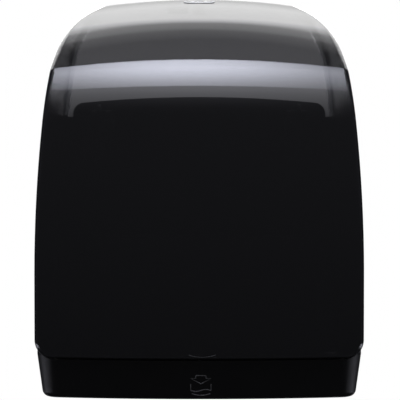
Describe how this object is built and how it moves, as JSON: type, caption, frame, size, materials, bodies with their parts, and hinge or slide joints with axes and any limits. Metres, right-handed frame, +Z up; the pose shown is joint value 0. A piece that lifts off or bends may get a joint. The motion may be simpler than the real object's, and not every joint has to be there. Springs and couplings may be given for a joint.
{
  "type": "paper towel dispenser",
  "caption": "Wall-hung roll towel dispenser with a see-through smoke cover that swings down on a low hinge, a key lock on top, sprung roll arms and a pull-driven cutting drum above its outlet.",
  "frame": {"origin": "centre of the four wall screw holes, on the wall plane", "axes": "+Z up, front faces -Y, wall plane at y = 0, X across the width"},
  "size_m": [0.3216, 0.2332, 0.4176],
  "materials": {
    "smoke_cover": "polished see-through smoke black",
    "skirt_plastic": "fine satin grain, black",
    "housing_plastic": "fine grain, black",
    "arch_plastic": "polished see-through grey",
    "frame_plastic": "fine grain, charcoal",
    "drum_plastic": "moulded, dark grey",
    "arm_plastic": "moulded, black",
    "touch_plastic": "moulded, mid grey",
    "bearing_plastic": "acetal, natural",
    "rubber": "matte, black",
    "steel": "bright zinc",
    "blade_steel": "ground",
    "spring_steel": "drawn wire and strip",
    "lock_metal": "plated",
    "bezel_plastic": "smooth, mid grey"
  },
  "bodies": {
    "housing": {"back_housing": "housing_plastic", "top_arch": "arch_plastic", "lock_strike": "steel", "strike_rivets": "steel", "hinge_pins": "steel", "arm_pins": "steel", "arm_springs": "spring_steel", "module_left_plate": "frame_plastic", "module_right_plate": "frame_plastic", "module_screws": "steel", "module_front_panel": "frame_plastic", "rear_guide": "frame_plastic", "outlet_chute": "frame_plastic", "stripper_comb": "frame_plastic", "drum_bushings": "bearing_plastic", "spring_case": "frame_plastic", "spring_case_lid": "frame_plastic", "case_screws": "steel", "return_spring": "spring_steel", "knife_cam": "frame_plastic", "pinch_blocks": "bearing_plastic", "pinch_springs": "spring_steel"},
    "cover": {"cover_shell": "smoke_cover", "lower_skirt": "skirt_plastic", "skirt_screws": "steel", "lock_bezel": "bezel_plastic"},
    "lock": {"lock_barrel": "lock_metal", "lock_tongue": "lock_metal", "lock_nut": "lock_metal"},
    "left_arm": {"left_roll_arm": "arm_plastic", "left_hub_clip": "steel"},
    "right_arm": {"right_roll_arm": "arm_plastic", "right_hub_clip": "steel"},
    "left_hub": {"left_core_hub": "touch_plastic"},
    "right_hub": {"right_core_hub": "touch_plastic"},
    "drum": {"drum_shell": "drum_plastic", "drum_left_cap": "drum_plastic", "drum_right_cap": "drum_plastic", "drum_shaft": "steel", "grip_bands": "rubber", "feed_knob": "touch_plastic"},
    "knife": {"knife_carrier": "frame_plastic", "knife_blade": "blade_steel", "knife_rivets": "steel"},
    "pinch": {"pinch_shaft": "steel", "pinch_rollers": "rubber"}
  },
  "joints": [
    {"name": "cover_hinge", "type": "hinge", "parent": "housing", "child": "cover", "pos_m": [0, -0.022, -0.176], "axis": [1, 0, 0], "range_deg": [0, 90]},
    {"name": "lock_turn", "type": "hinge", "parent": "cover", "child": "lock", "pos_m": [0, -0.036, 0.22151], "axis": [0, -0.2757, 0.9612], "range_deg": [0, 90]},
    {"name": "left_arm_swing", "type": "hinge", "parent": "housing", "child": "left_arm", "pos_m": [-0.121, -0.016, 0.08], "axis": [0, 0, -1], "range_deg": [0, 14], "stiffness_Nm_per_rad": 1.5, "springref_deg": -8.59},
    {"name": "right_arm_swing", "type": "hinge", "parent": "housing", "child": "right_arm", "pos_m": [0.121, -0.016, 0.08], "axis": [0, 0, 1], "range_deg": [0, 14], "stiffness_Nm_per_rad": 1.5, "springref_deg": -8.59},
    {"name": "left_hub_spin", "type": "hinge", "parent": "left_arm", "child": "left_hub", "pos_m": [-0.098, -0.115, 0.08], "axis": [1, 0, 0], "continuous": true},
    {"name": "right_hub_spin", "type": "hinge", "parent": "right_arm", "child": "right_hub", "pos_m": [0.098, -0.115, 0.08], "axis": [1, 0, 0], "continuous": true},
    {"name": "drum_spin", "type": "hinge", "parent": "housing", "child": "drum", "pos_m": [0, -0.105, -0.09], "axis": [1, 0, 0], "continuous": true},
    {"name": "pinch_spin", "type": "hinge", "parent": "housing", "child": "pinch", "pos_m": [0, -0.0776, -0.04254], "axis": [1, 0, 0], "continuous": true},
    {"name": "knife_swing", "type": "hinge", "parent": "drum", "child": "knife", "pos_m": [0, -0.077, -0.068], "axis": [1, 0, 0], "range_deg": [0, 18], "stiffness_Nm_per_rad": 0.6, "springref_deg": -11.46}
  ],
  "couplings": [
    {"joint": "pinch_spin", "follows": "drum_spin", "ratio": -5.0444}
  ]
}
